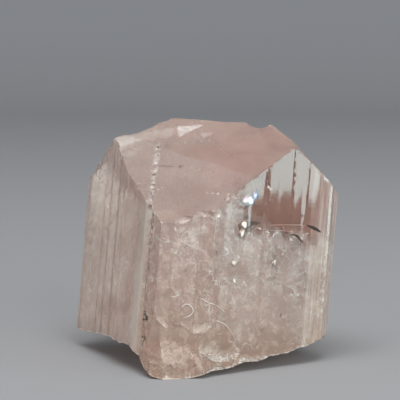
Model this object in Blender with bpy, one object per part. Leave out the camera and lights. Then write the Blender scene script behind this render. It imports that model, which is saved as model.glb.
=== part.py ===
"""Danburite crystal: one blocky prism with a roof-shaped end and a broken base, 54 mm high.

The crystal is first made in its own axes: a towards the front, b to the right and c up along the
prism. It is then turned and leaned to the way it stands on its broken base. Lengths are written in
millimetres and turned into metres by MM. A direction is an azimuth about c, counted from a towards
b, and a tilt from c, both in degrees.
"""

import bmesh
import bpy
import random
from bisect import bisect_right
from math import cos, radians, sin, sqrt
from mathutils import Matrix, Vector, noise

MM = 0.001

# How the crystal stands: turned about its own axis, then leaning back and to the right.
TURN = -107.4
LEAN_BACK = 7.1
LEAN_RIGHT = 4.8

# Cross-section of the prism at its corners: a, b, growth steps up to the next corner, their depth.
SECTION = (
    (-26.1, -37.9, 6, 0.30),
    (-15.6, -28.4, 5, 0.30),
    (-7.9, -22.1, 4, 0.25),
    (-1.0, -14.5, 0, 0.0),
    (-0.6, -13.1, 0, 0.0),
    (0.7, -12.4, 2, 0.15),
    (3.1, -9.4, 1, 0.10),
    (2.9, -6.2, 2, 0.15),
    (0.1, -0.7, 1, 0.10),
    (-0.3, 1.9, 1, 0.05),
    (-3.4, 3.2, 7, 0.08),
    (-21.3, 19.2, 4, 0.30),
    (-24.4, 21.6, 2, 0.15),
    (-28.5, 22.0, 8, 0.25),
    (-48.7, 3.6, 10, 0.30),
)
PRISM_BOTTOM = -42.0
PRISM_TOP = 36.0
RISER = 0.14
STEP_SEED = 11

# The sloping faces of the upper end: azimuth, tilt and a point on the face.
TOP_FACES = {
    "front slope": (0.0, 45.4, (-16.0, 0.0, 24.4)),
    "back slope": (180.0, 45.0, (-21.1, 0.0, 29.5)),
    "left shoulder": (239.0, 36.4, (-15.6, -28.4, 24.1)),
    "left corner": (-11.5, 38.5, (-13.1, -26.5, 21.7)),
    "right shoulder": (112.0, 40.5, (-16.3, 14.4, 25.1)),
    "right shoulder's edge": (80.0, 52.0, (-16.1, 14.1, 24.7)),
}

# Height of the broken base over its flat facet, by distance to the right and left of that facet.
BASE_HEIGHT = -27.5
FACET_LEFT = -9.0
FACET_RIGHT = -3.2
FACET_SPREAD = 0.40
RIGHT_RISE = ((0.0, 0.0), (3.7, 0.9), (10.4, 2.1), (17.3, 3.1), (21.7, 4.5), (24.0, 6.9), (30.0, 11.0))
LEFT_RISE = ((0.0, 0.0), (2.4, 0.5), (4.2, 1.9), (5.4, 3.9), (7.6, 5.6), (12.0, 5.9), (22.0, 4.0))
BREAK_CELL = 1.3
BREAK_ROUGHNESS = 0.6

# The seam where two columns grew together, as a route over the surface, and its open pits.
SEAM = (
    (-14.3, -17.4, 22.7),
    (-8.0, -15.6, 16.3),
    (-1.0, -13.6, 9.2),
    (0.6, -12.3, 0.0),
    (0.2, -12.9, -8.0),
    (0.7, -12.3, -23.0),
)
PIT_SPACING = (1.3, 3.6)
PIT_RADIUS = (0.22, 0.50)
PIT_SEED = 5

# Shell-shaped scars of the broken front and of knocks: azimuth, tilt, place, half width, half height,
# depth, spin about the face's normal, and lean of the shell so that one side of it is steeper.
SCARS = (
    (35.0, 90.0, (-0.4, 0.4, -11.6), 5.4, 4.6, 0.22, 28.0, 6.0),
    (14.0, 90.0, (1.9, -4.4, -13.4), 4.2, 3.4, 0.20, -30.0, 5.0),
    (50.0, 90.0, (-3.0, 2.9, -18.6), 6.0, 3.8, 0.25, -16.0, 6.0),
    (20.0, 92.0, (1.3, -3.6, -21.6), 6.0, 3.6, 0.28, -22.0, -6.0),
    (-15.0, 90.0, (2.9, -8.6, -18.6), 3.0, 5.0, 0.30, 8.0, 6.0),
    (47.0, 90.0, (-12.4, 11.2, -21.0), 5.4, 2.4, 0.30, 8.0, 8.0),
    (208.6, 90.0, (-37.4, -17.2, -9.0), 8.0, 6.0, 0.80, 20.0, 8.0),
    (208.6, 90.0, (-42.0, -8.8, -15.0), 6.0, 7.0, 0.70, -30.0, 7.0),
    (208.6, 90.0, (-33.4, -24.6, -15.0), 7.0, 4.6, 0.70, 15.0, -8.0),
    (132.6, 90.0, (-36.4, 15.0, -14.0), 7.0, 5.0, 0.70, 15.0, 8.0),
    (132.6, 90.0, (-31.0, 19.9, -18.0), 5.0, 3.8, 0.60, -20.0, -7.0),
)
SHELL_RISE = 0.7

# Flakes knocked off edges and corners: azimuth, tilt, place, half length, half width, depth, spin.
CHIPS = (
    (20.0, 68.0, (2.0, -5.0, 6.1), 2.4, 1.2, 0.50, 10.0),
    (35.0, 62.0, (0.4, -1.4, 7.7), 2.0, 1.0, 0.45, -18.0),
    (60.0, 70.0, (-2.6, 2.8, 10.8), 1.8, 0.9, 0.50, 40.0),
    (-18.0, 68.0, (-4.4, -18.0, 12.6), 2.2, 0.8, 0.35, 14.0),
    (-20.0, 66.0, (-10.6, -24.0, 19.0), 1.6, 0.7, 0.35, -10.0),
    (239.0, 36.4, (-17.7, -23.4, 26.2), 5.0, 2.4, 0.80, -24.0),
    (0.0, 10.0, (-21.0, 3.9, 29.4), 3.1, 2.0, 1.45, 0.0),
    (0.0, 10.0, (-21.1, -5.0, 29.6), 4.0, 1.5, 0.25, 0.0),
    (60.0, 45.0, (-16.2, 14.2, 24.7), 1.2, 0.9, 0.45, 30.0),
)

# Low growth terraces of the hidden side: azimuth, tilt, place, half length, half width, depth, spin.
TERRACES = (
    (180.0, 45.0, (-29.0, 9.0, 21.6), 8.0, 7.0, 0.45, 32.0),
    (180.0, 45.0, (-37.0, -14.0, 13.6), 9.0, 6.0, 0.35, -24.0),
    (208.6, 90.0, (-31.0, -29.0, 4.0), 5.0, 15.0, 0.40, 0.0),
    (132.6, 90.0, (-43.0, 8.8, 2.0), 4.0, 13.0, 0.35, 0.0),
)

# A triangular growth pit under the ridge and a single small pit lower on the front slope.
TRIANGLE_PIT = ((-18.3, -12.3, 26.65), 3.7, 7.3, 0.4, -59.0)
LONE_PIT = (-9.6, -10.3, 18.0)
LONE_PIT_RADIUS = 0.35


def clear_scene():
    """Remove the objects of the open scene."""
    for item in list(bpy.data.objects):
        bpy.data.objects.remove(item, do_unlink=True)


def new_collection(name):
    """A collection of the scene with this name."""
    group = bpy.data.collections.new(name)
    bpy.context.scene.collection.children.link(group)
    return group


def direction(azimuth, tilt):
    """Unit vector leaning by tilt from the c axis, towards an azimuth counted from the a axis."""
    around = radians(azimuth)
    lean = radians(tilt)
    return Vector((cos(around) * sin(lean), sin(around) * sin(lean), cos(lean)))


def standing():
    """Rotation from the crystal's own axes to the way it stands."""
    turned = Matrix.Rotation(radians(TURN), 4, "Z")
    back = Matrix.Rotation(radians(-LEAN_BACK), 4, "X")
    right = Matrix.Rotation(radians(LEAN_RIGHT), 4, "Y")
    return right @ back @ turned


def on_face(azimuth, tilt, point, spin, radii):
    """Place for a cutter on a face: local Z out of the face, local X level, scaled to its radii."""
    outward = direction(azimuth, tilt).to_track_quat("Z", "Y").to_matrix().to_4x4()
    spun = outward @ Matrix.Rotation(radians(spin), 4, "Z")
    sized = spun @ Matrix.Diagonal((*radii, 1.0))
    return Matrix.Translation(Vector(point)) @ sized


def mesh_object(name, bm, group, stand):
    """Turn a bmesh in millimetres into an object in metres that belongs to the stand."""
    bmesh.ops.scale(bm, vec=(MM, MM, MM), verts=bm.verts[:])
    mesh = bpy.data.meshes.new(name)
    bm.to_mesh(mesh)
    bm.free()
    made = bpy.data.objects.new(name, mesh)
    group.objects.link(made)
    made.parent = stand
    return made


def stepped_run(start, end, steps, depth, rng):
    """Points along one prism face, broken into narrow treads with a small riser between them."""
    along = end - start
    inward = Vector((-along.y, along.x)).normalized()
    riser = RISER / along.length
    points = [start]
    level = 0.0
    for step in range(steps):
        edge = (step + rng.uniform(0.1, 0.9)) / steps
        points.append(start + along * edge + inward * level)
        share = rng.uniform(0.3, 1.0) if level < depth * 0.5 else rng.uniform(0.0, 0.3)
        level = share * depth
        points.append(start + along * (edge + riser) + inward * level)
    return points


def prism_section():
    """Cross-section of the prism with its growth steps, as (a, b) points."""
    rng = random.Random(STEP_SEED)
    points = []
    for index, (a, b, steps, depth) in enumerate(SECTION):
        following = SECTION[(index + 1) % len(SECTION)]
        points += stepped_run(Vector((a, b)), Vector(following[:2]), steps, depth, rng)
    return points


def make_prism(bm):
    """Extrude the cross-section along the c axis."""
    corners = [bm.verts.new((point.x, point.y, PRISM_BOTTOM)) for point in prism_section()]
    bottom = bm.faces.new(corners)
    raised = bmesh.ops.extrude_face_region(bm, geom=[bottom])
    top = [item for item in raised["geom"] if isinstance(item, bmesh.types.BMVert)]
    bmesh.ops.translate(bm, verts=top, vec=(0.0, 0.0, PRISM_TOP - PRISM_BOTTOM))
    bmesh.ops.recalc_face_normals(bm, faces=bm.faces[:])


def cut_top(bm):
    """Cut the sloping faces of the upper end, and close each cut with a flat face."""
    for azimuth, tilt, point in TOP_FACES.values():
        everything = bm.verts[:] + bm.edges[:] + bm.faces[:]
        cut = bmesh.ops.bisect_plane(
            bm,
            geom=everything,
            dist=1e-4,
            plane_co=Vector(point),
            plane_no=direction(azimuth, tilt),
            clear_outer=True,
        )
        rim = [item for item in cut["geom_cut"] if isinstance(item, bmesh.types.BMEdge)]
        bmesh.ops.edgenet_fill(bm, edges=rim)


def read_profile(profile, distance):
    """Height of a broken line of (distance, height) points at this distance."""
    places = [place for place, height in profile]
    right = min(max(bisect_right(places, distance), 1), len(profile) - 1)
    (x0, z0), (x1, z1) = profile[right - 1], profile[right]
    share = min(max((distance - x0) / (x1 - x0), 0.0), 1.0)
    return z0 + (z1 - z0) * share


def base_height(x, y):
    """Height of the broken underside above the facet that it stands on."""
    facet_right = FACET_RIGHT + FACET_SPREAD * (y + 2.0)
    rise = read_profile(RIGHT_RISE, x - facet_right) + read_profile(LEFT_RISE, FACET_LEFT - x)
    if rise <= 0.0:
        return 0.0
    coarse = noise.noise(Vector((x, y, 3.0)) * 0.40)
    fine = noise.noise(Vector((x, y, 9.0)) * 1.1)
    return max(rise + (coarse + 0.5 * fine) * BREAK_ROUGHNESS * min(rise, 1.0), 0.0)


def add_base_cutter(group, stand):
    """A block whose upper side is the broken surface, to cut the prism's lower end with."""
    left, right, front, back = -38.0, 38.0, -12.0, 54.0
    bm = bmesh.new()
    across = round((right - left) / BREAK_CELL)
    deep = round((back - front) / BREAK_CELL)
    bmesh.ops.create_grid(bm, x_segments=across, y_segments=deep, size=1.0)
    for vert in bm.verts:
        x = left + (right - left) * (vert.co.x + 1.0) / 2.0
        y = front + (back - front) * (vert.co.y + 1.0) / 2.0
        vert.co = Vector((x, y, BASE_HEIGHT + base_height(x, y)))
    lowered = bmesh.ops.extrude_face_region(bm, geom=bm.faces[:])
    for item in lowered["geom"]:
        if isinstance(item, bmesh.types.BMVert):
            item.co.z = BASE_HEIGHT - 25.0
    bmesh.ops.recalc_face_normals(bm, faces=bm.faces[:])
    return mesh_object("base_cutter", bm, group, stand)


def add_shell_cutter(name, shell, lean, segments, group, stand):
    """A flattened ball that dips into a face or an edge and leaves a shell-shaped scar there."""
    azimuth, tilt, point, half_width, half_height, depth, spin = shell
    rim = sqrt(1.0 - SHELL_RISE**2)
    thickness = depth / (1.0 - SHELL_RISE)
    radii = (half_width / rim, half_height / rim, thickness)
    face = on_face(azimuth, tilt, point, spin, (1.0, 1.0, 1.0))
    raised = Matrix.Translation((0.0, 0.0, SHELL_RISE * thickness))
    leaning = Matrix.Rotation(radians(lean), 4, "X")
    place = standing() @ face @ leaning @ raised @ Matrix.Diagonal((*radii, 1.0))
    bm = bmesh.new()
    bmesh.ops.create_uvsphere(
        bm, u_segments=segments, v_segments=segments * 2 // 3, radius=1.0, matrix=place
    )
    return mesh_object(name, bm, group, stand)


def add_terrace_cutter(index, terrace, group, stand):
    """A slab that lies in a face and leaves a low terrace with straight edges there."""
    azimuth, tilt, point, half_length, half_width, depth, spin = terrace
    bm = bmesh.new()
    size = (2.0 * half_length, 2.0 * half_width, 2.0 * depth)
    place = standing() @ on_face(azimuth, tilt, point, spin, size)
    bmesh.ops.create_cube(bm, size=1.0, matrix=place)
    return mesh_object(f"terrace_cutter_{index}", bm, group, stand)


def seam_places(rng):
    """Places of the pits along the seam, at uneven distances."""
    places = []
    for start, end in zip(SEAM, SEAM[1:]):
        start, end = Vector(start), Vector(end)
        length = (end - start).length
        travelled = rng.uniform(0.3, 1.0)
        while travelled < length:
            places.append(start.lerp(end, travelled / length))
            travelled += rng.uniform(*PIT_SPACING)
    return places


def add_pit_cutter(group, stand):
    """Small balls along the seam, one lone ball and the triangular pit's pyramid."""
    rng = random.Random(PIT_SEED)
    bm = bmesh.new()
    pits = [(place, rng.uniform(*PIT_RADIUS)) for place in seam_places(rng)]
    pits.append((Vector(LONE_PIT), LONE_PIT_RADIUS))
    for place, radius in pits:
        turned = Matrix.Rotation(rng.uniform(0.0, 3.0), 4, "X") @ Matrix.Diagonal((1.0, 1.0, 1.5, 1.0))
        ball = standing() @ Matrix.Translation(place) @ turned
        bmesh.ops.create_icosphere(bm, subdivisions=1, radius=radius, matrix=ball)
    point, width, height, depth, spin = TRIANGLE_PIT
    azimuth, tilt, _ = TOP_FACES["front slope"]
    place = standing() @ on_face(azimuth, tilt, point, spin, (width, height, depth))
    bmesh.ops.create_cone(
        bm, cap_ends=True, segments=3, radius1=0.0, radius2=1.0, depth=2.0, matrix=place
    )
    return mesh_object("pit_cutter", bm, group, stand)


def subtract(target, cutter):
    """Take a cutter, shown as wire and kept out of renders, away from the target."""
    cutter.display_type = "WIRE"
    cutter.hide_render = True
    boolean = target.modifiers.new(cutter.name, "BOOLEAN")
    boolean.operation = "DIFFERENCE"
    boolean.solver = "EXACT"
    boolean.object = cutter


def crystal_material():
    """Clear to slightly milky danburite with a faint pink beige tint."""
    stone = bpy.data.materials.new("danburite")
    stone.use_nodes = True
    shader = stone.node_tree.nodes["Principled BSDF"]
    shader.inputs["Base Color"].default_value = (0.47, 0.37, 0.33, 1.0)
    shader.inputs["Roughness"].default_value = 0.15
    shader.inputs["Metallic"].default_value = 0.0
    shader.inputs["IOR"].default_value = 1.63
    return stone


def settle(stand, crystal):
    """Bring the middle of the finished crystal's box over the origin and its base down to zero."""
    bpy.context.view_layer.update()
    finished = crystal.evaluated_get(bpy.context.evaluated_depsgraph_get())
    corners = [crystal.matrix_world @ vertex.co for vertex in finished.data.vertices]
    lows = [min(corner[axis] for corner in corners) for axis in range(3)]
    highs = [max(corner[axis] for corner in corners) for axis in range(3)]
    stand.location = (-(lows[0] + highs[0]) / 2.0, -(lows[1] + highs[1]) / 2.0, -lows[2])


def build():
    """Model the crystal."""
    clear_scene()
    parts = new_collection("danburite_crystal")
    cutters = new_collection("danburite_crystal_cutters")
    stand = bpy.data.objects.new("stand", None)
    parts.objects.link(stand)
    bm = bmesh.new()
    make_prism(bm)
    cut_top(bm)
    bmesh.ops.transform(bm, matrix=standing(), verts=bm.verts[:])
    crystal = mesh_object("crystal", bm, parts, stand)
    crystal.data.materials.append(crystal_material())
    subtract(crystal, add_base_cutter(cutters, stand))
    for index, terrace in enumerate(TERRACES):
        subtract(crystal, add_terrace_cutter(index, terrace, cutters, stand))
    for index, (*scar, lean) in enumerate(SCARS):
        subtract(crystal, add_shell_cutter(f"scar_cutter_{index}", scar, lean, 18, cutters, stand))
    for index, chip in enumerate(CHIPS):
        subtract(crystal, add_shell_cutter(f"chip_cutter_{index}", chip, 0.0, 9, cutters, stand))
    subtract(crystal, add_pit_cutter(cutters, stand))
    settle(stand, crystal)


build()
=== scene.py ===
# %% [markdown]
# # A danburite crystal
# This lesson dresses one loose mineral crystal: a block of clear, faintly pink stone with a sloping
# smooth top, striated sides and a broken foot. The shape comes from the CAD frame. What is added
# here is the fine relief of the faces, the stone itself, and what can be seen inside it.

# %% Load the frame
import random
from math import pi, radians, sin

import bpy
import numpy as np
from mathutils import Matrix, Vector, noise


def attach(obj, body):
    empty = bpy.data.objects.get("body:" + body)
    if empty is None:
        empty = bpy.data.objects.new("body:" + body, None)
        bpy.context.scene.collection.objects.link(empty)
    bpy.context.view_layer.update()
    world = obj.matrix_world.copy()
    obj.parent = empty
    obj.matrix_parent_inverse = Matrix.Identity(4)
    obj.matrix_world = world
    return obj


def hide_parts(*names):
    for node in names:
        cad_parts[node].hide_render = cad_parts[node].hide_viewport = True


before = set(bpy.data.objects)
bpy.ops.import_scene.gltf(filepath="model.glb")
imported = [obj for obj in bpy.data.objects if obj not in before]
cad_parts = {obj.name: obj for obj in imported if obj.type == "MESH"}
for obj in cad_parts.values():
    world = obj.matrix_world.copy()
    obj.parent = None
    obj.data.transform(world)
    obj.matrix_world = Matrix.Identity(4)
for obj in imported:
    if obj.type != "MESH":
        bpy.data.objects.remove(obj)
bpy.context.view_layer.update()

# %% [markdown]
# ## The crystal's own axes
# A crystal is easier to describe along its own axes than along the room's: a points out of the front,
# b to the right and c up along the prism, and all its striations follow c. The block stands on a
# broken foot, so its axes lean a little. The same turn and lean as in the CAD are repeated here.

# %% Crystal axes
MM = 0.001
TURN, LEAN_BACK, LEAN_RIGHT = -107.4, 7.1, 4.8
CRYSTAL_ORIGIN = Vector((-0.000015, -0.020428, 0.0275))
STANDING = (
    Matrix.Rotation(radians(LEAN_RIGHT), 3, "Y")
    @ Matrix.Rotation(radians(-LEAN_BACK), 3, "X")
    @ Matrix.Rotation(radians(TURN), 3, "Z")
)
AXIS_B, AXIS_C = (STANDING @ Vector(axis) for axis in ((0, 1, 0), (0, 0, 1)))


def to_crystal(points):
    """Room coordinates in metres to crystal coordinates in millimetres."""
    return (np.asarray(points) - np.array(CRYSTAL_ORIGIN)) / MM @ np.array(STANDING)


def to_room(points):
    """Crystal coordinates in millimetres to room coordinates in metres."""
    return np.asarray(points) @ np.array(STANDING).T * MM + np.array(CRYSTAL_ORIGIN)


print("c axis in the room:", [round(value, 3) for value in AXIS_C])

# %% [markdown]
# ## The camera
# The crystal was looked at from about a third of a metre, a little from above. A long lens at that
# distance keeps the verticals nearly parallel.

# %% Camera
camera_data = bpy.data.cameras.new("camera")
camera_data.lens = 146.2
camera_data.sensor_width = 36.0
camera = bpy.data.objects.new("camera", camera_data)
camera.location = (-0.00109, -0.3674, 0.0748)
camera.rotation_euler = (radians(84.0), 0.0, 0.0)
bpy.context.scene.collection.objects.link(camera)
bpy.context.scene.camera = camera
print("camera at", tuple(camera.location))


# %% [markdown]
# ## Helpers for colour and nodes
# Colours are written as the hex values of a colour picker. Blender calculates with linear light, so
# one function converts them. One more function adds any node with its settings and its links.

# %% Colour and node helpers
def linear(hex_code, alpha=1.0):
    """An sRGB hex colour as linear red, green, blue and alpha."""
    parts = [int(hex_code[i:i + 2], 16) / 255.0 for i in (1, 3, 5)]
    return (*[p / 12.92 if p <= 0.04045 else ((p + 0.055) / 1.055) ** 2.4 for p in parts], alpha)


def add(tree, kind, settings=None, links=None):
    """A node. Settings fill its inputs, by name or number, or its own properties; links feed inputs."""
    node = tree.nodes.new(kind)
    for key, value in (settings or {}).items():
        if isinstance(key, int) or key in node.inputs:
            node.inputs[key].default_value = value
        else:
            setattr(node, key, value)
    for key, source in (links or {}).items():
        socket = source if isinstance(source, bpy.types.NodeSocket) else source.outputs[0]
        tree.links.new(socket, node.inputs[key])
    return node


def new_material(name):
    """An empty node material and its Principled shader."""
    material = bpy.data.materials.new(name)
    material.use_nodes = True
    return material, material.node_tree, material.node_tree.nodes["Principled BSDF"]


def select_only(item):
    """Make this object the only selected one."""
    if bpy.context.object and bpy.context.object.mode == "EDIT":
        bpy.ops.object.mode_set(mode="OBJECT")
    bpy.ops.object.select_all(action="DESELECT")
    item.select_set(True)
    bpy.context.view_layer.objects.active = item


# %% [markdown]
# ## The studio
# The crystal stands on a wide sheet of pale grey paper that curves up all round, so that the same
# grey is behind it from any side. Its grey is painted darker near the middle and paler further out,
# a painted shade that stands in for the fall-off of the light. A circle is extruded up twice and its
# corner is bevelled.

# %% Studio bowl
bpy.ops.mesh.primitive_circle_add(vertices=96, radius=1.6, fill_type="NGON", location=(0.0, 0.0, 0.0))
studio = bpy.context.object
studio.name = "studio_paper"
bpy.ops.object.mode_set(mode="EDIT")
bpy.ops.mesh.select_all(action="SELECT")
bpy.ops.mesh.extrude_region_move(TRANSFORM_OT_translate={"value": (0.0, 0.0, 1.2)})
bpy.ops.mesh.delete(type="ONLY_FACE")
bpy.ops.object.mode_set(mode="OBJECT")
rim = studio.modifiers.new("sweep", "BEVEL")
rim.width = 0.5
rim.segments = 16
rim.limit_method = "ANGLE"
bpy.ops.object.modifier_apply(modifier=rim.name)
bpy.ops.object.shade_smooth()

paper, tree, shader = new_material("matt_grey_paper")
place = add(tree, "ShaderNodeTexCoord")
fibres = add(tree, "ShaderNodeTexNoise", {"Scale": 900.0, "Detail": 3.0}, {"Vector": place.outputs["Object"]})
# Painted shade: the grey grows darker towards the middle of the paper and paler outwards, standing in for the
# fall-off of the light; fine fibres speckle it.
distance = add(tree, "ShaderNodeVectorMath", {"operation": "LENGTH"}, {0: place.outputs["Object"]})
outward = add(
    tree, "ShaderNodeMapRange",
    {"From Min": 0.1, "From Max": 1.5, "To Min": 0.0, "To Max": 0.96},
    {"Value": distance.outputs["Value"]},
)
fibres_and_painted_falloff = add(tree, "ShaderNodeMath", {"operation": "MULTIPLY_ADD", 1: 0.04}, {0: fibres, 2: outward})
painted_falloff_greys = {"data_type": "RGBA", 6: linear("#A1A1A3"), 7: linear("#C2C3C7")}
shade = add(tree, "ShaderNodeMix", painted_falloff_greys, {0: fibres_and_painted_falloff})
tree.links.new(shade.outputs[2], shader.inputs["Base Color"])
shader.inputs["Roughness"].default_value = 0.9
studio.data.materials.append(paper)
print("studio paper:", len(studio.data.polygons), "faces")

# %% [markdown]
# ## The light
# Daylight from a big soft panel above gives the stone its even body colour. A wide, low panel on the
# right stands where the right prism face mirrors it: its lower edge ends the pale sheen that lies
# over the upper part of that face. Two weaker panels fill the front and the left.


# %% Lights
def soft_panel(name, place, target, size, power, colour="#FFFFFF"):
    """A rectangular area light that looks at a point and that the camera doesn't see directly."""
    data = bpy.data.lights.new(name, "AREA")
    data.shape = "RECTANGLE"
    data.size, data.size_y = size
    data.energy = power
    data.color = linear(colour)[:3]
    lamp = bpy.data.objects.new(name, data)
    lamp.location = place
    aim = Vector(target) - Vector(place)
    lamp.rotation_euler = aim.to_track_quat("-Z", "Y").to_euler()
    lamp.visible_camera = False
    bpy.context.scene.collection.objects.link(lamp)


soft_panel("panel_above", (-0.05, -0.30, 0.85), (0.0, 0.0, 0.02), (0.7, 0.6), 5.6)
soft_panel("panel_right", (0.748, -0.338, 0.140), (0.0, 0.0, 0.140), (0.60, 0.20), 2.5, "#D2F0F0")
soft_panel("panel_front", (0.40, -0.85, 0.40), (0.0, 0.0, 0.02), (0.5, 0.4), 2.9)
soft_panel("panel_left", (-0.7, -0.5, 0.45), (0.0, 0.0, 0.02), (0.5, 0.5), 0.8)
bpy.context.scene.view_settings.view_transform = "Standard"

world = bpy.data.worlds.new("studio_air")
bpy.context.scene.world = world
world.use_nodes = True
background = world.node_tree.nodes["Background"]
background.inputs["Color"].default_value = linear("#D8DADC")
background.inputs["Strength"].default_value = 0.46

# %% [markdown]
# ## A finer mesh for the natural faces
# The CAD mesh has only the triangles that its flat faces need. The real faces carry relief of a few
# tenths of a millimetre, so the mesh needs points that close. The copy is welded, its flat faces are
# made whole again, and it is then cut by two families of parallel planes, one along c and one along
# b. Cutting keeps every crystal edge exactly where it is, which a remesh or a subdivision would not.

# %% Refined copy of the crystal
crystal = bpy.data.objects.new("danburite_crystal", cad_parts["crystal"].data.copy())
bpy.context.scene.collection.objects.link(crystal)
select_only(crystal)
CUT_GAP = 0.62
bpy.ops.object.mode_set(mode="EDIT")
bpy.ops.mesh.select_all(action="SELECT")
bpy.ops.mesh.remove_doubles(threshold=1e-6)
bpy.ops.mesh.dissolve_limited(angle_limit=radians(0.3))
for axis, lowest, highest in ((AXIS_C, -45.0, 40.0), (AXIS_B, -40.0, 24.0)):
    for step in range(int((highest - lowest) / CUT_GAP)):
        bpy.ops.mesh.select_all(action="SELECT")
        cut_place = CRYSTAL_ORIGIN + axis * (lowest + (step + 0.5) * CUT_GAP) * MM
        bpy.ops.mesh.bisect(plane_co=cut_place, plane_no=axis, threshold=1e-6)
bpy.ops.mesh.select_all(action="SELECT")
bpy.ops.mesh.quads_convert_to_tris(quad_method="BEAUTY", ngon_method="BEAUTY")
bpy.ops.mesh.dissolve_degenerate(threshold=1e-5)
bpy.ops.mesh.select_all(action="SELECT")
bpy.ops.mesh.delete_loose(use_verts=True, use_edges=True, use_faces=False)
bpy.ops.mesh.select_all(action="SELECT")
bpy.ops.mesh.fill_holes(sides=0)
bpy.ops.mesh.select_all(action="SELECT")
bpy.ops.mesh.quads_convert_to_tris(quad_method="BEAUTY", ngon_method="BEAUTY")
bpy.ops.object.mode_set(mode="OBJECT")
print("refined crystal:", len(crystal.data.polygons), "faces")

# %% [markdown]
# ## Natural relief
# Each point moves a little way into the stone, never out of it. Prism faces get flutes that run
# along c, the front gets shallow lumps where it broke and was etched, the foot is rough like a fresh
# fracture, and the top stays almost optically flat. Sharp edges that point outwards are nibbled, as on
# any crystal that has been knocked about. Inner corners stay crisp, and so do the low growth steps on
# the faces, which a nibble would dig into grooves.
#
# First come the helpers: noise for the unevenness, a smooth ramp, and the distance from a line.


# %% Relief: helpers
def noise_at(points, scale, seed=0.0):
    """Smooth noise from -1 to 1 at each point, with a scale for each axis."""
    scaled = points * np.array(scale) + seed
    return np.array([noise.noise(Vector(point)) for point in scaled])


def step_up(values, low, high):
    """Smooth ramp from 0 below low to 1 above high."""
    share = np.clip((values - low) / (high - low), 0.0, 1.0)
    return share * share * (3.0 - 2.0 * share)


def route_distance(points, route):
    """Distance of each point from a broken line, in millimetres."""
    nearest = np.full(len(points), 1e9)
    for start, end in zip(route, route[1:]):
        start, along = np.array(start), np.array(end) - np.array(start)
        share = np.clip((points - start) @ along / (along @ along), 0.0, 1.0)
        away = np.linalg.norm(points - start - share[:, None] * along, axis=1)
        nearest = np.minimum(nearest, away)
    return nearest


SEAM = (
    (-14.3, -17.4, 22.7),
    (-8.0, -15.6, 16.3),
    (-1.0, -13.6, 9.2),
    (0.6, -12.3, 0.0),
    (0.2, -12.9, -8.0),
    (0.7, -12.3, -23.0),
)

# %% [markdown]
# ## Where the edges are
# A point lies on an edge where one of its faces is turned away from the point's own direction, and
# the edge points outwards where the faces sink below that direction. A triangle as narrow as the
# riser of a growth step is skipped: it is under the smallest doubled area, in square millimetres.

# %% Relief: edges
SMALLEST_FACE = 0.05
mesh = crystal.data
count = len(mesh.vertices)
room = np.empty(count * 3)
mesh.vertices.foreach_get("co", room)
room = room.reshape(-1, 3)
points = to_crystal(room)
corners = np.empty(len(mesh.polygons) * 3, dtype=int)
mesh.polygons.foreach_get("vertices", corners)
corners = corners.reshape(-1, 3)
first, second, third = (points[corners[:, index]] for index in range(3))
areas = np.cross(second - first, third - first)
normals = np.zeros((count, 3))
for index in range(3):
    np.add.at(normals, corners[:, index], areas)
normals /= np.linalg.norm(normals, axis=1)[:, None]
facing = areas / (np.linalg.norm(areas, axis=1)[:, None] + 1e-12)
flatness = np.ones(count)
for index in range(3):
    agree = (facing * normals[corners[:, index]]).sum(axis=1)
    big = np.linalg.norm(areas, axis=1) > SMALLEST_FACE
    np.minimum.at(flatness, corners[big, index], agree[big])
middles = (first + second + third) / 3.0
sag = np.zeros(count)
for index in range(3):
    at = corners[:, index]
    np.add.at(sag, at, ((middles - points[at]) * normals[at]).sum(axis=1))
edge = (1.0 - step_up(flatness, 0.955, 0.985)) * (sag < 0.0)
print("points:", count, "of them on outward edges:", int((edge > 0.5).sum()))

# %% [markdown]
# ## Which face a point is on
# The direction tells the top, the foot and the prism faces apart, and the place tells the front from
# the left and the right. The clear window is the upper part of the right face.

# %% Relief: faces
a, b, c = points.T
top = step_up(normals[:, 2], 0.35, 0.6)
foot = step_up(-normals[:, 2], 0.35, 0.6)
prism = 1.0 - np.maximum(top, foot)
front = prism * step_up(b, -14.4, -13.2) * step_up(a, -7.5, -3.0)
left = prism * (1.0 - front) * step_up(-normals[:, 1], 0.0, 0.4)
right = prism * (1.0 - front) * step_up(normals[:, 1], 0.3, 0.6)
wide = noise_at(points, (0.55, 0.55, 0.02), 3.0)
fine = noise_at(points, (1.6, 1.6, 0.05), 9.0)
lump = noise_at(points, (0.33, 0.33, 0.33), 21.0)
crumb = noise_at(points, (1.1, 1.1, 1.1), 5.0)
ragged = noise_at(points, (0.5, 0.5, 0.12), 40.0)
gaps = noise_at(points, (0.7, 0.7, 0.7), 70.0)
window = right * step_up(c + 3.0 * ragged, 2.5, 5.5) * step_up(b, 0.5, 3.0)
edge = edge * (1.0 - np.maximum(window, left))
fading = 1.0 - 0.30 * step_up(b, 3.0, 15.0)
broken = np.maximum(front, right * (1.0 - window) * fading * step_up(a, -34.0, -24.0))
seam = np.exp(-((route_distance(points, SEAM) / 0.45) ** 2)) * step_up(gaps, -0.25, 0.1)
print("points in the window:", int((window > 0.5).sum()), "on the broken front:", int((front > 0.5).sum()))

# %% [markdown]
# ## How deep the relief is
# Each kind of face has its own depths in millimetres, and each point moves straight inwards by the
# sum of what applies to it.

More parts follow.
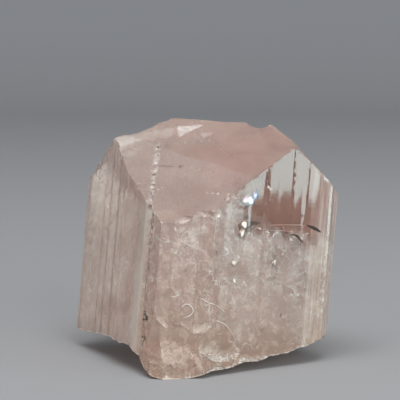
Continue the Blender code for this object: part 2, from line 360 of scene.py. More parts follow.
# %% Relief: depths
LEFT_FLUTES, BACK_FLUTES, RIGHT_FLUTES, FLUTES_LOST_IN_WINDOW = 0.07, 0.08, 0.009, 0.007
FRONT_LUMPS, FRONT_CRUMBS, RIGHT_CRUMBS = 0.09, 0.06, 0.03
FOOT_CRUMBS, FOOT_LUMPS, TOP_LUMPS = 0.10, 0.08, 0.008
flute = 0.5 + 0.35 * wide + 0.25 * fine
depth = LEFT_FLUTES * left * flute + (RIGHT_FLUTES - FLUTES_LOST_IN_WINDOW * window) * right * flute
depth = depth + BACK_FLUTES * (prism - np.maximum(np.maximum(left, right), front)).clip(0) * flute
depth = depth + front * (FRONT_LUMPS * (1.0 + lump) + FRONT_CRUMBS * (1.0 + crumb))
depth = depth + right * (1.0 - window) * RIGHT_CRUMBS * (1.0 + crumb)
depth = depth + foot * (FOOT_CRUMBS * (1.0 + crumb) + FOOT_LUMPS * (1.0 + lump))
depth = depth + TOP_LUMPS * top * (1.0 + lump)
nibble = 0.015 + 0.13 * np.clip(noise_at(points, (1.3, 1.3, 1.3), 60.0), 0.0, 1.0)
depth = (1.0 - edge) * depth + edge * nibble + seam * (0.10 + 0.12 * crumb)
moved = points - normals * depth[:, None]
mesh.vertices.foreach_set("co", to_room(moved).ravel())
mesh.update()
print("relief: mean", round(float(depth.mean()), 3), "mm, deepest", round(float(depth.max()), 2), "mm")

# %% [markdown]
# ## Where the shading breaks
# Smooth shading would round every crystal edge, and the usual split by angle also splits along
# hair-thin triangles, which then show as lines across a flat face. Here an edge is sharp only where
# the faces on both sides are turned by more than 24 degrees and neither is a sliver. Weighted
# normals then let the large faces lead.

# %% Sharp edges
SHARP_ANGLE = radians(24.0)
SLIVER_HEIGHT = 0.03
corner_places = moved[corners]
sides = corner_places[:, (1, 2, 0)] - corner_places
surface = np.cross(sides[:, 0], sides[:, 1])
doubled_area = np.linalg.norm(surface, axis=1)
height_of = doubled_area / np.linalg.norm(sides, axis=2).max(axis=1)
directions = surface / (doubled_area[:, None] + 1e-12)
edge_of_corner = np.empty(len(mesh.loops), dtype=int)
mesh.loops.foreach_get("edge_index", edge_of_corner)
order = np.argsort(edge_of_corner, kind="stable")
corners_at = np.bincount(edge_of_corner, minlength=len(mesh.edges))
paired = corners_at == 2
starts = (np.cumsum(corners_at) - corners_at)[paired]
one, other = order[starts] // 3, order[starts + 1] // 3
turned = (directions[one] * directions[other]).sum(axis=1) < np.cos(SHARP_ANGLE)
solid_both = (height_of[one] > SLIVER_HEIGHT) & (height_of[other] > SLIVER_HEIGHT)
sharp = np.zeros(len(mesh.edges), dtype=bool)
sharp[paired] = turned & solid_both
select_only(crystal)
bpy.ops.object.shade_smooth()
mesh.attributes.new("sharp_edge", "BOOLEAN", "EDGE").data.foreach_set("value", sharp)
weigh = crystal.modifiers.new("flat_faces_lead", "WEIGHTED_NORMAL")
weigh.keep_sharp = True
weigh.weight = 90
bpy.ops.object.modifier_apply(modifier=weigh.name)
mesh = crystal.data
print("sharp edges:", int(sharp.sum()), "of", len(sharp), "open edges:", int((~paired).sum()))

# %% [markdown]
# ## Where the stone is what
# The material has to know which face it is on. Each point keeps a few numbers for that: whether it
# is on the smooth top, the left or right prism faces, the broken front, the foot or the seam. More
# hold the pale band beside the seam, the striated strip on the far right, whitish veils, white
# triangles on the top, clearer spots in the haze and pinker places.


# %% Masks
def keep_mask(name, values):
    """Store a number for each point, for the material to read."""
    attribute = mesh.attributes.new(name, "FLOAT", "POINT")
    attribute.data.foreach_set("value", np.asarray(values, dtype=np.float32))


def patches(places):
    """Soft round patches: centre, radius in millimetres and strength of each."""
    total = np.zeros(count)
    for centre, radius, strength in places:
        away = np.linalg.norm(points - np.array(centre), axis=1)
        total = np.maximum(total, strength * np.exp(-((away / radius) ** 2)))
    return total


VEILS = (
    ((-13.0, -26.0, 21.0), 4.5, 0.30),
    ((-18.5, -21.5, 26.5), 3.5, 0.30),
    ((-20.0, -31.5, 19.5), 5.5, 0.45),
    ((-25.5, -34.5, 15.0), 4.0, 0.40),
    ((-0.5, -4.2, 2.3), 1.8, 0.9),
    ((-1.0, -1.5, 4.5), 1.8, 0.9),
    ((-2.0, 1.1, 7.7), 1.4, 0.9),
    ((-9.5, -6.5, 16.0), 5.0, 0.12),
)
BLUSHES = (
    ((-12.0, 2.0, 19.0), 9.0, 0.9),
    ((-18.0, 9.0, 25.0), 7.0, 0.35),
    ((-13.8, -0.5, 20.9), 2.6, 1.0),
)
CLEARINGS = (
    ((-14.4, 12.9, -0.4), 2.8, 0.70),
    ((-7.7, 6.2, -4.3), 2.4, 0.60),
    ((-22.2, 19.8, -5.8), 2.8, 0.65),
    ((-8.4, 6.6, 5.4), 3.4, 0.70),
    ((-18.0, 16.0, 2.0), 2.6, 0.60),
)
WHITE_FACETS = (
    (0.50, (-18.9, -14.7), (-19.7, -9.0), (-16.5, -13.3)),
    (0.40, (-16.8, -28.9), (-15.3, -21.5), (-13.0, -26.3)),
    (0.25, (-17.9, -8.8), (-17.6, -6.1), (-16.7, -7.6)),
    (0.22, (-16.4, -24.3), (-18.8, -15.1), (-16.5, -15.0)),
    (0.16, (-16.4, -24.3), (-16.5, -15.0), (-14.7, -23.6)),
)


def inside_triangles(triangles):
    """The strength of triangles drawn over the top in the plane of a and b, with a soft rim."""
    total = np.zeros(count)
    for strength, *triangle in triangles:
        share = np.full(count, strength)
        ring = [np.array(corner) for corner in triangle]
        middle = sum(ring) / 3.0
        for start, end in zip(ring, ring[1:] + ring[:1]):
            across = np.array((-(end - start)[1], (end - start)[0]))
            across /= np.linalg.norm(across)
            across *= np.sign((middle - start) @ across)
            share *= step_up((points[:, :2] - start) @ across, -0.15, 0.15)
        total = np.maximum(total, share)
    return total


# The triangles over the top are made whiter and hazier there.
facets = inside_triangles(WHITE_FACETS) * step_up(normals[:, 2], 0.1, 0.3)
back = prism * step_up(-a, 24.0, 32.0)
keep_mask("foot", foot)
keep_mask("top", top)
keep_mask("left", left)
keep_mask("right", right)
keep_mask("broken", np.maximum(broken, 0.6 * back) * (1.0 - patches(CLEARINGS)))
keep_mask("seam", seam)
keep_mask("band", prism * np.exp(-(((b + 14.9) / 1.3) ** 2)) * step_up(a, -6.0, -4.0))
keep_mask("strip", prism * step_up(b, 17.8, 18.6))
keep_mask("veil", patches(VEILS))
keep_mask("facets", facets)
keep_mask("blush", patches(BLUSHES))
print("masks:", [attribute.name for attribute in mesh.attributes if attribute.data_type == "FLOAT"])

# %% [markdown]
# ## Danburite
# Danburite is a calcium boron silicate, clear as glass, with an index of refraction of 1.63. This
# one grew in water and was not polished: its faces are smooth with fine striations, its breaks are
# frosted. The eye sees a glassy gloss, a faint pink where the stone is deep, and a milky haze where
# it is full of tiny bubbles. So the shader is glass with a pale diffuse share that follows the haze,
# and an absorption that tints long paths.

# %% Crystal material: places and patterns
MATH, RANGE = "ShaderNodeMath", "ShaderNodeMapRange"
NOISE, MAPPING = "ShaderNodeTexNoise", "ShaderNodeMapping"
stone, tree, shader = new_material("natural_danburite")
place = add(tree, "ShaderNodeTexCoord")
own = add(
    tree, MAPPING,
    {"vector_type": "TEXTURE", "Location": CRYSTAL_ORIGIN, "Rotation": STANDING.to_euler()},
    {"Vector": place.outputs["Object"]},
)
along = add(tree, MAPPING, {"Scale": (1.0, 1.0, 0.03)}, {"Vector": own})
height = add(tree, "ShaderNodeSeparateXYZ", {}, {"Vector": own})
masks = {
    name: add(tree, "ShaderNodeAttribute", {"attribute_name": name}).outputs["Fac"]
    for name in (
        "foot", "top", "left", "right", "broken", "seam", "band", "strip", "veil", "facets", "blush",
    )
}
streak = add(tree, NOISE, {"Scale": 1400.0, "Detail": 4.0, "Roughness": 0.6}, {"Vector": along})
bands = add(tree, NOISE, {"Scale": 150.0, "Detail": 1.0}, {"Vector": along})
cloud = add(tree, NOISE, {"Scale": 90.0, "Detail": 5.0, "Roughness": 0.6, "Distortion": 0.6}, {"Vector": own})
etched = {"Scale": 480.0, "Detail": 6.0, "Roughness": 0.7, "Distortion": 0.2}
mottle = add(tree, NOISE, etched, {"Vector": own})
crumbs = add(tree, NOISE, {"Scale": 1500.0, "Detail": 3.0}, {"Vector": own})
wander = add(tree, NOISE, {"Scale": 190.0, "Detail": 2.0, "Distortion": 0.9}, {"Vector": own})
tangle = add(tree, NOISE, {"Scale": 520.0, "Detail": 2.0, "Distortion": 0.6}, {"Vector": own})
patch = add(tree, NOISE, {"Scale": 150.0, "Detail": 2.0}, {"Vector": own})

# %% [markdown]
# ### How milky the stone is
# Each kind of place adds its share of haze, and the sum lowers the transmission. Two noises turned
# into thin lines make the whitish wisps of healed cracks and scuffs.

# %% Crystal material: haze
off_line = add(tree, MATH, {"operation": "SUBTRACT", 1: 0.5}, {0: wander})
off_line = add(tree, MATH, {"operation": "ABSOLUTE"}, {0: off_line})
line = add(tree, RANGE, {"From Max": 0.010, "To Min": 1.0, "To Max": 0.0}, {"Value": off_line})
here = add(tree, RANGE, {"From Min": 0.50, "From Max": 0.58}, {"Value": patch})
wisp = add(tree, MATH, {"operation": "MULTIPLY"}, {0: line, 1: here})
off_scuff = add(tree, MATH, {"operation": "SUBTRACT", 1: 0.5}, {0: tangle})
off_scuff = add(tree, MATH, {"operation": "ABSOLUTE"}, {0: off_scuff})
scuff = add(tree, RANGE, {"From Max": 0.014, "To Min": 0.8, "To Max": 0.0}, {"Value": off_scuff})
scuffed = add(tree, RANGE, {"From Min": 0.53, "From Max": 0.60}, {"Value": cloud})
scuff = add(tree, MATH, {"operation": "MULTIPLY"}, {0: scuff, 1: scuffed})
wisp = add(tree, MATH, {"operation": "MAXIMUM"}, {0: wisp, 1: scuff})
wisp_places = add(tree, MATH, {"operation": "MULTIPLY_ADD", 1: 0.8}, {0: masks["left"], 2: masks["broken"]})
wisp = add(tree, MATH, {"operation": "MULTIPLY"}, {0: wisp, 1: wisp_places})
murk = add(tree, RANGE, {"From Min": 0.45, "From Max": 0.66}, {"Value": mottle})
top_range = {"From Min": 0.35, "From Max": 0.7, "To Min": 0.24, "To Max": 0.40}
top_haze = add(tree, RANGE, top_range, {"Value": cloud})
milk = add(tree, MATH, {"operation": "MULTIPLY"}, {0: masks["top"], 1: top_haze})
haze_range = {"From Min": 0.38, "From Max": 0.64, "To Min": 0.36, "To Max": 0.80}
left_haze = add(tree, RANGE, haze_range, {"Value": cloud})
milk = add(tree, MATH, {"operation": "MULTIPLY_ADD"}, {0: masks["left"], 1: left_haze, 2: milk})
broken_haze = add(tree, MATH, {"operation": "MULTIPLY_ADD", 1: 0.40, 2: 0.32}, {0: murk})
milk = add(tree, MATH, {"operation": "MULTIPLY_ADD"}, {0: masks["broken"], 1: broken_haze, 2: milk})
milk = add(tree, MATH, {"operation": "MULTIPLY_ADD", 1: 1.05}, {0: masks["foot"], 2: milk})
milk = add(tree, MATH, {"operation": "MULTIPLY_ADD", 1: 0.55}, {0: masks["seam"], 2: milk})
milk = add(tree, MATH, {"operation": "MULTIPLY_ADD", 1: 0.35}, {0: masks["band"], 2: milk})
strip_haze = add(tree, RANGE, {"From Min": 0.25, "From Max": 0.70, "To Max": 0.60}, {"Value": streak})
milk = add(tree, MATH, {"operation": "MULTIPLY_ADD"}, {0: masks["strip"], 1: strip_haze, 2: milk})
veil_texture = add(tree, RANGE, {"From Min": 0.38, "From Max": 0.62}, {"Value": mottle})
veil = add(tree, MATH, {"operation": "MULTIPLY"}, {0: masks["veil"], 1: veil_texture})
milk = add(tree, MATH, {"operation": "MULTIPLY_ADD", 1: 0.8}, {0: veil, 2: milk})
milk = add(tree, MATH, {"operation": "MULTIPLY_ADD", 1: 0.75}, {0: masks["facets"], 2: milk})
milk = add(tree, MATH, {"operation": "MULTIPLY_ADD", 1: 0.75}, {0: wisp, 2: milk})
clear = add(tree, RANGE, {"From Min": 0.0, "From Max": 1.0, "To Min": 0.97, "To Max": 0.25}, {"Value": milk})
tree.links.new(clear.outputs[0], shader.inputs["Transmission Weight"])

# %% [markdown]
# ### The stone's colour
# The body is nearly colourless. It is warmer near the foot and pinker in places. The left prism face
# is tinted a little darker and greyer: painted shade for the face turned from the main light. Hazy
# spots, the white triangles on the top and the seam are almost white. Dirt sits in the seam only.

# %% Crystal material: colour
RGBA = "ShaderNodeMix"
milkiness = add(tree, RANGE, {"From Min": 0.2, "From Max": 1.1}, {"Value": milk})
tint = add(tree, RGBA, {"data_type": "RGBA", 6: linear("#F3DED5"), 7: linear("#E9DDD0")}, {0: milkiness})
low = add(tree, RANGE, {"From Min": 0.010, "From Max": -0.024}, {"Value": height.outputs["Z"]})
low = add(tree, MATH, {"operation": "MULTIPLY"}, {0: low, 1: cloud})
tint = add(tree, RGBA, {"data_type": "RGBA", 7: linear("#D6B697")}, {0: low, 6: tint.outputs[2]})
tint = add(tree, RGBA, {"data_type": "RGBA", 7: linear("#F0CFC5")}, {0: masks["blush"], 6: tint.outputs[2]})
# Painted shade: the left prism face, turned away from the main light, is tinted a little darker and greyer.
tint = add(tree, RGBA, {"data_type": "RGBA", 7: linear("#E6D5CA")}, {0: masks["left"], 6: tint.outputs[2]})
tint = add(tree, RGBA, {"data_type": "RGBA", 7: linear("#EDD5C6")}, {0: masks["foot"], 6: tint.outputs[2]})
whiter = add(tree, MATH, {"operation": "MAXIMUM"}, {0: veil, 1: wisp})
whiter = add(tree, MATH, {"operation": "MAXIMUM"}, {0: whiter, 1: masks["facets"]})
pale_seam = add(tree, MATH, {"operation": "MULTIPLY", 1: 0.7}, {0: masks["seam"]})
whiter = add(tree, MATH, {"operation": "MAXIMUM"}, {0: whiter, 1: pale_seam})
tint = add(tree, RGBA, {"data_type": "RGBA", 7: linear("#F4F2EE")}, {0: whiter, 6: tint.outputs[2]})
greyer = add(tree, MATH, {"operation": "MULTIPLY"}, {0: masks["band"], 1: streak})
tint = add(tree, RGBA, {"data_type": "RGBA", 7: linear("#D9D6C6")}, {0: greyer, 6: tint.outputs[2]})
grime = add(tree, NOISE, {"Scale": 850.0, "Detail": 2.0}, {"Vector": own})
dirt_spots = add(tree, RANGE, {"From Min": 0.55, "From Max": 0.62}, {"Value": grime})
dirt = add(tree, MATH, {"operation": "MULTIPLY"}, {0: dirt_spots, 1: masks["seam"]})
tint = add(tree, RGBA, {"data_type": "RGBA", 7: linear("#5A564A")}, {0: dirt, 6: tint.outputs[2]})
tree.links.new(tint.outputs[2], shader.inputs["Base Color"])

# %% [markdown]
# ### Gloss and striations
# The finest striations are too low for the mesh, so a bump draws them, coarser than they are so that
# they show. Where the right face starts to mirror the panel, slightly tilted bands and narrower
# streaks fray the lower edge of the sheen.

# %% Crystal material: gloss and fine relief
gloss = add(tree, MATH, {"operation": "MULTIPLY_ADD", 1: 0.12, 2: 0.05}, {0: masks["broken"]})
gloss = add(tree, MATH, {"operation": "MULTIPLY_ADD", 1: 0.08}, {0: masks["left"], 2: gloss})
gloss = add(tree, MATH, {"operation": "MULTIPLY_ADD", 1: 0.40}, {0: masks["foot"], 2: gloss})
gloss = add(tree, MATH, {"operation": "MULTIPLY_ADD", 1: 0.25}, {0: masks["seam"], 2: gloss})
tree.links.new(gloss.outputs[0], shader.inputs["Roughness"])

left_lines = add(tree, MATH, {"operation": "MULTIPLY", 1: 0.000014}, {0: masks["left"]})
right_lines = add(tree, MATH, {"operation": "MULTIPLY", 1: 0.000004}, {0: masks["right"]})
strip_lines = add(tree, MATH, {"operation": "MULTIPLY_ADD", 1: 0.000015}, {0: masks["strip"], 2: right_lines})
lines = add(tree, MATH, {"operation": "ADD"}, {0: left_lines, 1: strip_lines})
relief = add(tree, MATH, {"operation": "MULTIPLY"}, {0: streak, 1: lines})
tilt = add(tree, MATH, {"operation": "SUBTRACT", 1: 0.5}, {0: bands})
near_sheen = {"From Min": 0.0105, "From Max": 0.0165, "To Min": -0.003, "To Max": 0.003}
above = add(tree, RANGE, near_sheen, {"Value": height.outputs["Z"]})
tilt = add(tree, MATH, {"operation": "MULTIPLY"}, {0: tilt, 1: above})
tilt = add(tree, MATH, {"operation": "MULTIPLY", 1: 0.018}, {0: tilt})
drip = add(tree, NOISE, {"Scale": 520.0, "Detail": 1.0}, {"Vector": along})
drip = add(tree, RANGE, {"From Min": 0.48, "From Max": 0.74, "To Max": -0.010}, {"Value": drip})
drip = add(tree, MATH, {"operation": "MULTIPLY"}, {0: drip, 1: above})
tilt = add(tree, MATH, {"operation": "ADD"}, {0: tilt, 1: drip})
relief = add(tree, MATH, {"operation": "MULTIPLY_ADD"}, {0: tilt, 1: masks["right"], 2: relief})
etching = add(tree, MATH, {"operation": "MULTIPLY", 1: 0.00014}, {0: mottle})
relief = add(tree, MATH, {"operation": "MULTIPLY_ADD"}, {0: etching, 1: masks["broken"], 2: relief})
rough = add(tree, MATH, {"operation": "MULTIPLY", 1: 0.00012}, {0: crumbs})
rough_places = add(tree, MATH, {"operation": "MAXIMUM"}, {0: masks["foot"], 1: masks["seam"]})
relief = add(tree, MATH, {"operation": "MULTIPLY_ADD"}, {0: rough, 1: rough_places, 2: relief})
bump = add(tree, "ShaderNodeBump", {"Distance": 1.0, "Strength": 1.0}, {"Height": relief})
tree.links.new(bump.outputs["Normal"], shader.inputs["Normal"])

shader.inputs["IOR"].default_value = 1.633
depth_tint = add(tree, "ShaderNodeVolumeAbsorption", {"Color": linear("#EFC6B8"), "Density": 9.0})
tree.links.new(depth_tint.outputs["Volume"], tree.nodes["Material Output"].inputs["Volume"])
mesh.materials.clear()
mesh.materials.append(stone)

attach(crystal, "root")
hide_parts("crystal")

# %% [markdown]
# ## Cracks inside the stone
# Most of the sparkle comes from small cracks inside. Each holds a film of air as thin as a hair,
# shaped like a shallow shell, and it throws light back like a mirror. One shell is modelled from a
# flattened ball, then copied and bent a little differently each time. A film only flashes where it
# faces the light in the right way, so most are turned towards one of two directions: along the right
# prism face, where it mirrors the panel on the right, or tipped back to mirror the one above. Two
# lie behind the left face and are tipped a little further round.

# %% Crack films: one shell
RNG = random.Random(17)
bpy.ops.object.select_all(action="DESELECT")
bpy.ops.mesh.primitive_ico_sphere_add(subdivisions=2, radius=1.0, location=(0.0, 0.0, 0.0))
shell = bpy.context.object
bpy.ops.object.mode_set(mode="EDIT")
bpy.ops.mesh.select_all(action="SELECT")
bpy.ops.transform.resize(value=(1.0, 1.0, 0.05))
bpy.ops.object.mode_set(mode="OBJECT")
TO_RIGHT = Vector((0.528, -0.843, 0.10))
TO_ABOVE = Vector((0.074, -0.818, 0.570))
TO_ABOVE_FROM_LEFT = Vector((-0.206, -0.809, 0.552))


def place_shell(centre, size, facing, spin=0.0, bend=0.02):
    """A bent, uneven copy of the shell; its centre is in crystal millimetres, size is length, width."""
    copy = bpy.data.objects.new("film", shell.data.copy())
    bpy.context.scene.collection.objects.link(copy)
    seed = Vector((RNG.uniform(0, 90), RNG.uniform(0, 90), 0.0))
    turn = facing.to_track_quat("Z", "Y").to_matrix() @ Matrix.Rotation(spin, 3, "Z")
    middle = Vector(to_room(centre))
    for vertex in copy.data.vertices:
        x, y, z = vertex.co
        ragged_rim = 1.0 + 1.3 * noise.noise(Vector((x, y, 0.0)) * 2.6 + seed)
        x, y = x * ragged_rim, y * ragged_rim + 0.3 * noise.noise(Vector((x, 0.0, 0.0)) * 3.0 + seed)
        flat = Vector((x * size[0], y * size[1], (z + bend * (x * x + y * y)) * size[0]))
        vertex.co = middle + turn @ flat * MM
    return copy


def depth_below(centre):
    """How far a crystal place lies under the crystal's surface, in millimetres."""
    spot = Vector(to_room(centre))
    _, nearest, outward, _ = crystal.closest_point_on_mesh(spot)
    return (nearest - spot).dot(outward) / MM


def scattered(amount, middle, spread, sizes, deepest=3.0):
    """Small shells strewn round a place, some of them further in; none comes near the surface."""
    made = []
    for _ in range(amount):
        inward = RNG.uniform(0.2, deepest)
        centre = [RNG.gauss(m, s) - n * inward for m, s, n in zip(middle, spread, (0.67, 0.75, 0.0))]
        size = RNG.uniform(*sizes)
        if depth_below(centre) < 0.3 + 0.5 * size:
            continue
        facing = TO_RIGHT if RNG.random() < 0.5 else TO_ABOVE
        facing = facing + Vector([RNG.gauss(0.0, 0.06) for _ in range(3)])
        shape = (size, size * RNG.uniform(0.15, 0.6))
        made.append(place_shell(centre, shape, facing, RNG.uniform(0, pi), RNG.uniform(0.05, 0.3)))
    return made


def join_as(name, members):
    """Join the members into one smooth object with this name."""
    bpy.ops.object.select_all(action="DESELECT")
    for member in members:
        member.select_set(True)
    bpy.context.view_layer.objects.active = members[0]
    bpy.ops.object.join()
    joined = bpy.context.object
    joined.name = name
    bpy.ops.object.shade_smooth()
    return joined


def dress(piece, material):
    """Give an inner flaw its material and say that it belongs to the crystal."""
    piece.data.materials.clear()
    piece.data.materials.append(material)
    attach(piece, "root")
    print(piece.name, len(piece.data.polygons), "faces")


# %% Crack films: placed
films = [
    place_shell((-8.7, 5.9, 5.8), (2.1, 1.6), TO_RIGHT, 0.4),
    place_shell((-8.0, 5.6, 4.2), (1.4, 0.8), TO_RIGHT, 1.4),
    place_shell((-12.6, 9.2, 15.0), (1.4, 0.3), TO_RIGHT, 2.2),
    place_shell((-2.6, 0.8, 7.6), (0.8, 0.6), TO_ABOVE, 0.2),
    place_shell((-7.6, 4.3, -2.3), (0.9, 0.7), TO_RIGHT, 1.0),
    place_shell((-7.9, 4.6, -6.3), (0.9, 0.7), TO_RIGHT, 2.0),
    place_shell((-18.6, 15.0, 2.4), (1.2, 0.9), TO_ABOVE, 0.8),
    place_shell((-14.9, 11.5, -1.5), (1.3, 0.6), TO_RIGHT, 1.2),
    place_shell((-18.9, -28.2, 16.6), (0.9, 0.4), TO_ABOVE_FROM_LEFT, 1.1),
    place_shell((-20.6, -29.4, 15.0), (0.6, 0.3), TO_ABOVE_FROM_LEFT, 0.2),
]
films += scattered(44, (-14.0, 11.9, -0.4), (1.3, 1.1, 2.4), (0.4, 1.1), 1.2)
films += scattered(44, (-21.6, 18.8, -5.8), (1.2, 1.0, 2.2), (0.4, 1.0), 1.2)
films += scattered(14, (-8.0, 6.4, 5.0), (2.2, 1.6, 1.6), (0.3, 0.9))
films += scattered(30, (-16.0, 13.8, 4.0), (3.6, 3.0, 1.2), (0.3, 1.0))
films += scattered(40, (-9.0, 6.9, -5.0), (3.6, 3.4, 5.0), (0.2, 0.7))
films += scattered(26, (-17.0, 14.4, -11.0), (4.0, 3.6, 4.0), (0.2, 0.6))
films += scattered(20, (-0.2, -2.2, 3.0), (0.6, 2.4, 1.6), (0.2, 0.6))
films += scattered(30, (-1.2, -1.6, -6.0), (1.0, 3.4, 6.0), (0.15, 0.5))
crack_films = join_as("crack_films", films)

silver, tree, shader = new_material("air_film_in_a_crack")
place = add(tree, "ShaderNodeTexCoord")
flaws = add(tree, NOISE, {"Scale": 1800.0, "Detail": 2.0}, {"Vector": place.outputs["Object"]})
sheen = add(tree, RANGE, {"To Min": 0.12, "To Max": 0.35}, {"Value": flaws})
tree.links.new(sheen.outputs[0], shader.inputs["Roughness"])
shade = add(tree, RGBA, {"data_type": "RGBA", 6: linear("#FFFFFF"), 7: linear("#EFE8DC")}, {0: flaws})
tree.links.new(shade.outputs[2], shader.inputs["Base Color"])
shader.inputs["Metallic"].default_value = 0.65
dress(crack_films, silver)

# %% [markdown]
# ## A rainbow in a crack
# Where such a film is only as thick as a light wave, it shows the colours of a soap bubble. One crack
# near the top of the right face does. Its colour runs in bands with the thickness of the film, so a
# noise pattern drives a ramp of the pale colours that thin air films have.

# %% Rainbow film
rainbow = join_as("rainbow_film", [
    place_shell((-8.9, 6.1, 11.6), (2.1, 1.4), TO_RIGHT, 0.6, 0.0),
    place_shell((-10.1, 7.2, 12.7), (1.2, 0.7), TO_RIGHT, 1.4, 0.0),
])
bubble, tree, shader = new_material("thin_air_film")
place = add(tree, "ShaderNodeTexCoord")
thickness = add(tree, NOISE, {"Scale": 420.0, "Detail": 1.0}, {"Vector": place.outputs["Object"]})
colours = add(tree, "ShaderNodeValToRGB", {}, {"Fac": thickness})
stops = ((0.30, "#F7F3D2"), (0.42, "#FFFFFF"), (0.50, "#9DB8F2"), (0.58, "#E3C6EE"), (0.70, "#F4F7DA"))
while len(colours.color_ramp.elements) < len(stops):
    colours.color_ramp.elements.new(0.5)
for element, (position, colour) in zip(colours.color_ramp.elements, stops):
    element.position = position
    element.color = linear(colour)
tree.links.new(colours.outputs["Color"], shader.inputs["Base Color"])
shader.inputs["Metallic"].default_value = 0.7
shader.inputs["Roughness"].default_value = 0.2
dress(rainbow, bubble)
bpy.data.objects.remove(shell)

# %% [markdown]
# ## Healed cracks
# Thin curved lines run through the front. They are the rims of old cracks that grew shut again, and
# they look like bright threads. Each is a curve through a few points, given a round section and
# turned into a mesh. Two straighter ones cross the right face, and the end of one is filled with
# something nearly black.

# %% Threads
FEWEST_KNOTS = 5


def thread(name, places, thickness):
    """A thin tube through crystal places."""
    bpy.ops.object.select_all(action="DESELECT")
    bpy.ops.curve.primitive_nurbs_path_add(location=(0.0, 0.0, 0.0))
    path = bpy.context.object
    path.name = name
    knots = [Vector(place) for place in places]
    while len(knots) < FEWEST_KNOTS:
        halves = [start.lerp(end, 0.5) for start, end in zip(knots, knots[1:])]
        knots = [knot for pair in zip(knots, halves) for knot in pair] + [knots[-1]]
    spline = path.data.splines[0]
    spline.points.add(len(knots) - len(spline.points))
    for index, (point, knot) in enumerate(zip(spline.points, knots)):
        point.co = (*to_room(knot), 1.0)
        point.radius = 0.3 + 0.7 * sin(pi * index / (len(knots) - 1))
    spline.use_endpoint_u = True
    spline.order_u = 3
    path.data.bevel_depth = thickness * MM
    path.data.bevel_resolution = 1
    path.data.resolution_u = 4
    path.data.use_fill_caps = True
    bpy.ops.object.convert(target="MESH")
    return bpy.context.object


UPPER_ARC = (
    (0.2, -1.1, -10.3), (-0.4, 0.1, -10.4), (-1.5, 1.3, -11.4), (-2.3, 2.4, -11.5), (-3.4, 3.3, -12.1),
    (-4.7, 4.4, -13.2),
)
LONG_ARC = (
    (-0.5, -0.5, -15.0), (-2.0, 1.5, -15.1), (-3.7, 3.5, -15.1), (-5.6, 5.2, -16.3), (-6.9, 6.3, -18.5),
)
LOW_ARC = (
    (0.8, -3.8, -19.9), (-0.1, -1.5, -20.9), (-0.8, 0.5, -22.1), (-2.0, 1.9, -22.6), (-3.0, 2.9, -22.4),
)
LOOP = (
    (1.4, -4.1, -13.3), (1.3, -3.5, -12.2), (0.9, -2.7, -11.8), (0.5, -1.7, -12.4), (0.2, -1.3, -13.4),
    (0.6, -2.1, -14.6), (1.2, -3.2, -14.9),
)
UPPER_LINE = (
    (-12.0, 10.7, 6.5), (-14.4, 12.8, 6.9), (-16.9, 14.9, 7.1), (-18.6, 16.4, 7.2), (-19.6, 17.3, 7.2),
)
LOWER_LINE = ((-11.9, 10.5, 5.4), (-14.5, 12.9, 5.6), (-17.0, 15.0, 5.5))
rims = [thread("rim", places, 0.10) for places in (UPPER_ARC, LONG_ARC, LOW_ARC, LOOP)]
rims += [thread("rim", places, 0.11) for places in (UPPER_LINE, LOWER_LINE)]
healed_cracks = join_as("healed_cracks", rims)
thread_white, tree, shader = new_material("bubbles_along_a_healed_crack")
place = add(tree, "ShaderNodeTexCoord")
bubbles = add(tree, NOISE, {"Scale": 2600.0, "Detail": 1.0}, {"Vector": place.outputs["Object"]})
shade = add(tree, RGBA, {"data_type": "RGBA", 6: linear("#FFFFFF"), 7: linear("#E8DACC")}, {0: bubbles})
tree.links.new(shade.outputs[2], shader.inputs["Base Color"])
shader.inputs["Roughness"].default_value = 0.35
shader.inputs["Metallic"].default_value = 0.2
dress(healed_cracks, thread_white)

# %% [markdown]
# ## Dark grains
# A few specks of dark mineral and dirt sit in the seam, in the open end of the crack and near the
# foot. Each is a rough little lump, modelled once from a ball with few faces.

# %% Dark grains
bpy.ops.object.select_all(action="DESELECT")
bpy.ops.mesh.primitive_ico_sphere_add(subdivisions=2, radius=1.0, location=(0.0, 0.0, 0.0))
lump_of_dirt = bpy.context.object
for vertex in lump_of_dirt.data.vertices:
    vertex.co *= 1.0 + 0.6 * noise.noise(vertex.co * 1.7)


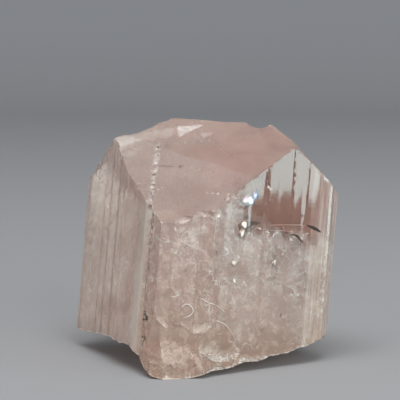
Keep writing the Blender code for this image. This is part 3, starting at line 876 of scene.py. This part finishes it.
def grain(centre, size):
    """A turned and stretched copy of the lump; centre and size are in crystal millimetres."""
    copy = bpy.data.objects.new("grain", lump_of_dirt.data.copy())
    bpy.context.scene.collection.objects.link(copy)
    turn = Matrix.Rotation(RNG.uniform(0, pi), 3, "X") @ Matrix.Rotation(RNG.uniform(0, pi), 3, "Y")
    stretch = Vector((1.0, RNG.uniform(0.5, 1.0), RNG.uniform(0.3, 0.7))) * size
    for vertex in copy.data.vertices:
        local = turn @ Vector([along * wide for along, wide in zip(vertex.co, stretch)])
        vertex.co = Vector(to_room(Vector(centre) + local))
    return copy


GRAIN_SPOTS = (
    ((1.45, -11.3, -15.1), 0.36, 10),
    ((1.30, -11.5, -20.1), 0.26, 9),
    ((1.25, -11.7, -11.5), 0.14, 4),
    ((1.25, -11.7, -5.0), 0.12, 4),
    ((-2.4, -13.5, 11.7), 0.16, 4),
    ((-0.5, 2.5, -0.3), 0.12, 7),
    ((-2.9, 3.5, -1.0), 0.12, 6),
    ((-12.0, 11.3, -16.6), 0.15, 7),
    ((0.1, -3.8, -19.8), 0.13, 6),
    ((1.4, -4.2, -26.7), 0.12, 3),
    ((0.8, -2.6, -26.7), 0.12, 3),
    ((-18.5, 16.7, 3.2), 0.18, 6),
    ((-14.9, 13.9, 5.3), 0.12, 6),
    ((-9.5, 8.4, 10.3), 0.12, 4),
)
grains = []
for middle, size, amount in GRAIN_SPOTS:
    for _ in range(amount):
        around = [RNG.gauss(part, size * wide) for part, wide in zip(middle, (0.4, 1.6, 2.0))]
        grains.append(grain(around, size * RNG.uniform(0.5, 1.0)))
grains += [thread("dark_end", ((-19.4, 17.3, 7.3), (-21.0, 18.8, 6.8), (-22.7, 20.0, 6.0)), 0.44)]
grains += [thread("dark_end", ((-16.1, 14.4, 5.0), (-17.8, 15.9, 4.7), (-18.5, 16.7, 3.4)), 0.24)]
dark_grains = join_as("dark_grains", grains)
mineral, tree, shader = new_material("dark_mineral_grain")
place = add(tree, "ShaderNodeTexCoord")
mixed = add(tree, NOISE, {"Scale": 3000.0, "Detail": 2.0}, {"Vector": place.outputs["Object"]})
shade = add(tree, RGBA, {"data_type": "RGBA", 6: linear("#1E1A17"), 7: linear("#4A443A")}, {0: mixed})
tree.links.new(shade.outputs[2], shader.inputs["Base Color"])
shader.inputs["Roughness"].default_value = 0.55
dress(dark_grains, mineral)
bpy.data.objects.remove(lump_of_dirt)

# %% Finish
bpy.context.view_layer.update()
